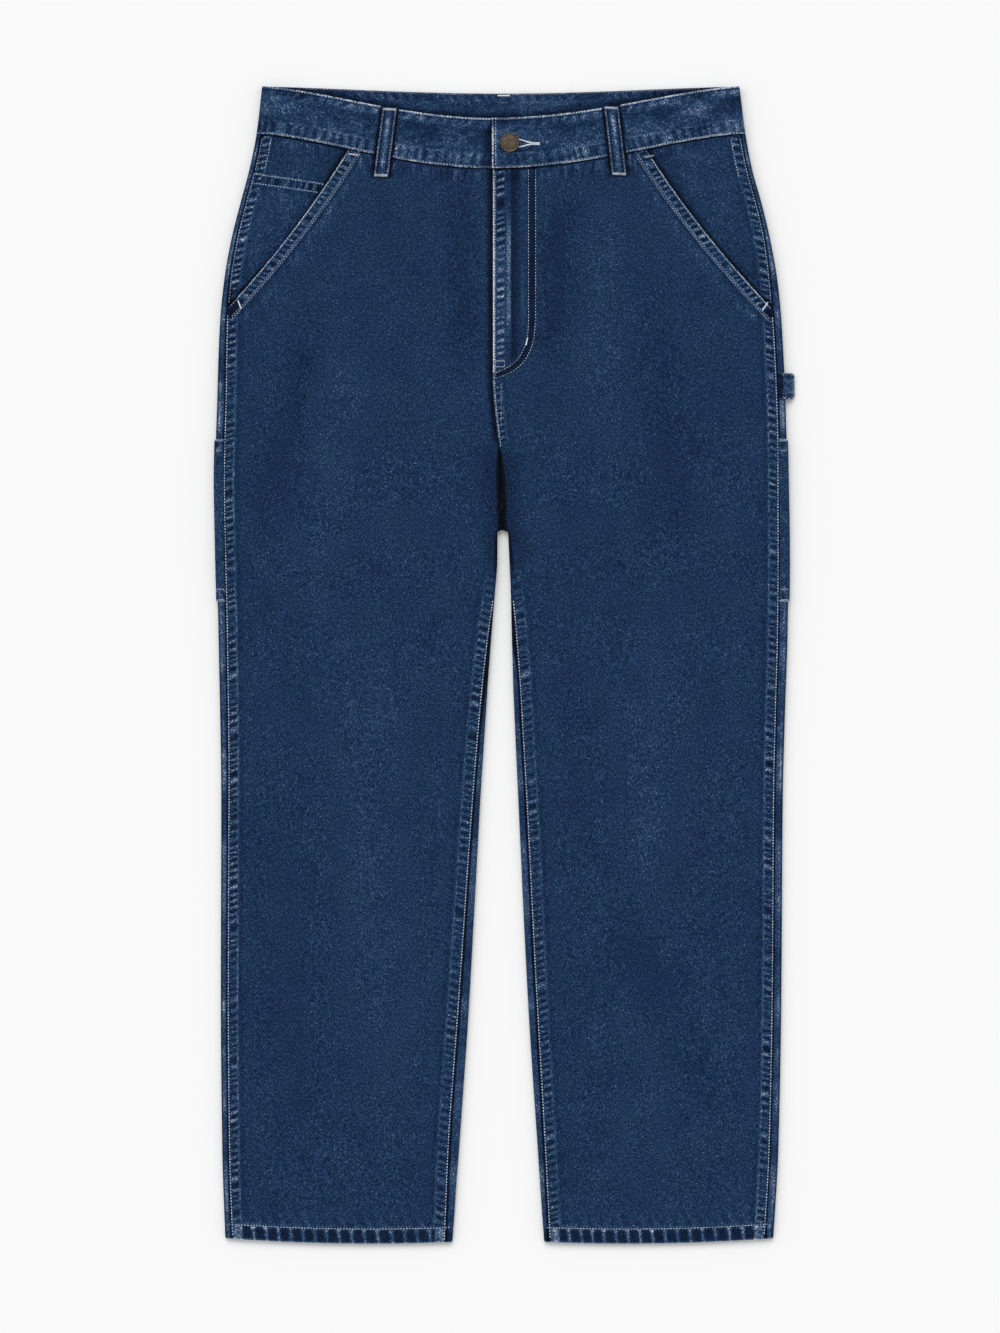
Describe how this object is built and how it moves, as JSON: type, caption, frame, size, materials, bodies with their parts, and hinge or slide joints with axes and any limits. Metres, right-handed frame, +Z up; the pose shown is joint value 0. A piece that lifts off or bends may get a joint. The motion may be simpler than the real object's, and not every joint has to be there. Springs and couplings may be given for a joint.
{
  "type": "carpenter jeans laid flat",
  "caption": "Dark denim carpenter jeans lying flat, front up: waistband with button, slanted hand pockets, coin pocket, leg tool pockets, hammer loop and belt loops.",
  "frame": {"origin": "centre of the laid-out garment's box, on the surface that it lies on", "axes": "+X to the wearer's left, +Y up the garment to the waist, +Z up from the surface, out of the front"},
  "size_m": [0.5235, 1.0419, 0.0133],
  "materials": {
    "denim": "dark indigo cotton denim, right-hand twill, rinsed, with paler ridges along the seams",
    "thread": "pale topstitching thread, bleached by the wash, tan on the fly",
    "button_metal": "antique bronze plating, satin, worn brighter on the rim"
  },
  "bodies": {
    "root": {"waistband": "denim", "front_right": "denim", "front_left": "denim", "back_right": "denim", "back_left": "denim", "yoke_right": "denim", "yoke_left": "denim", "pocket_facing_right": "denim", "pocket_facing_left": "denim", "coin_pocket": "denim", "back_pocket_right": "denim", "back_pocket_left": "denim", "tool_pocket_right": "denim", "tool_pocket_left": "denim", "belt_loop_front_right": "denim", "belt_loop_front_left": "denim", "belt_loop_back_centre": "denim", "belt_loop_back_right": "denim", "belt_loop_back_left": "denim", "hammer_loop": "denim", "button": "button_metal"}
  },
  "joints": []
}
